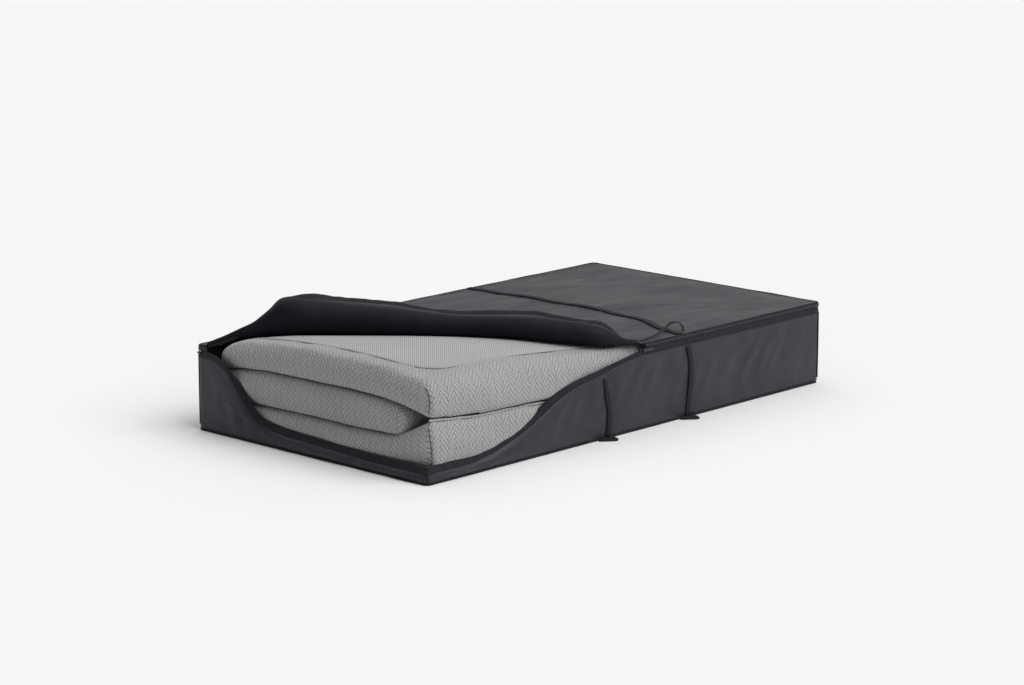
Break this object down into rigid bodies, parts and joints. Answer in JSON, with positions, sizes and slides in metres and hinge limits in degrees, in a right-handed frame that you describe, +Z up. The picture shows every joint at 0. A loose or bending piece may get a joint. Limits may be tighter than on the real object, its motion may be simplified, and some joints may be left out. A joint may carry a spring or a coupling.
{
  "type": "memory foam mattress",
  "caption": "Tri-fold memory foam mattress with a knitted cover, folded inside a zipped fabric storage bag whose lid is peeled back at one corner.",
  "frame": {"origin": "centre of the bag's base, on the floor", "axes": "+X along the long side, away from the open end; +Y from the front long side to the hinged back side; +Z up"},
  "size_m": [1.22, 0.6906, 0.2754],
  "materials": {
    "wall_cloth": "coated polyester, soft sheen",
    "lid_cloth": "coated polyester, soft sheen",
    "lining_cloth": "uncoated inner side, matt navy",
    "binding": "ribbed binding tape",
    "webbing": "ribbed webbing",
    "zip_tape": "woven zip tape",
    "zip_teeth": "moulded coil",
    "zip_metal": "satin zinc",
    "knit_cover": "knitted jacquard",
    "mesh_insert": "ribbed spacer mesh",
    "support_foam": "open-cell foam",
    "memory_foam": "slow-recovery foam"
  },
  "bodies": {
    "bag": {"base_panel": "wall_cloth", "front_wall": "wall_cloth", "back_wall": "wall_cloth", "near_end_wall": "wall_cloth", "far_end_wall": "wall_cloth", "base_piping": "binding", "corner_bindings": "binding", "lower_zip_tape": "zip_tape", "lower_zip_chain": "zip_teeth", "zip_stops": "zip_metal", "front_strap_near": "webbing", "front_strap_far": "webbing", "back_strap_near": "webbing", "back_strap_far": "webbing", "strap_tail_near": "webbing", "strap_tail_far": "webbing", "bottom_support_foam": "support_foam", "bottom_memory_foam": "memory_foam", "bottom_cover": "knit_cover", "middle_support_foam": "support_foam", "middle_memory_foam": "memory_foam", "middle_cover": "knit_cover", "top_support_foam": "support_foam", "top_memory_foam": "memory_foam", "top_cover": "knit_cover", "top_mesh_panel": "mesh_insert", "front_fold_hinge": "knit_cover", "back_fold_hinge": "knit_cover"},
    "lid": {"lid_panel": "lid_cloth", "lid_flap": "lining_cloth", "lid_skirt": "lid_cloth", "lid_piping": "binding", "upper_zip_tape_trim": "zip_tape", "upper_zip_chain": "zip_teeth", "flap_binding": "binding", "flap_zip_tape": "zip_tape", "flap_zip_chain": "zip_teeth", "lid_strap_far": "webbing", "strap_loop": "webbing"},
    "slider": {"slider_body": "zip_metal"},
    "pull": {"pull_tab": "zip_metal"}
  },
  "joints": [
    {"name": "lid_hinge", "type": "hinge", "parent": "bag", "child": "lid", "pos_m": [0, 0.3315, 0.1662], "axis": [-1, 0, 0], "range_deg": [0, 110]},
    {"name": "zip_slide", "type": "slide", "parent": "bag", "child": "slider", "axis": [1, 0, 0], "range_m": [0, 0.55]},
    {"name": "pull_hinge", "type": "hinge", "parent": "slider", "child": "pull", "pos_m": [0.018, -0.3353, 0.167], "axis": [0, 0, -1], "range_deg": [0, 175]}
  ]
}
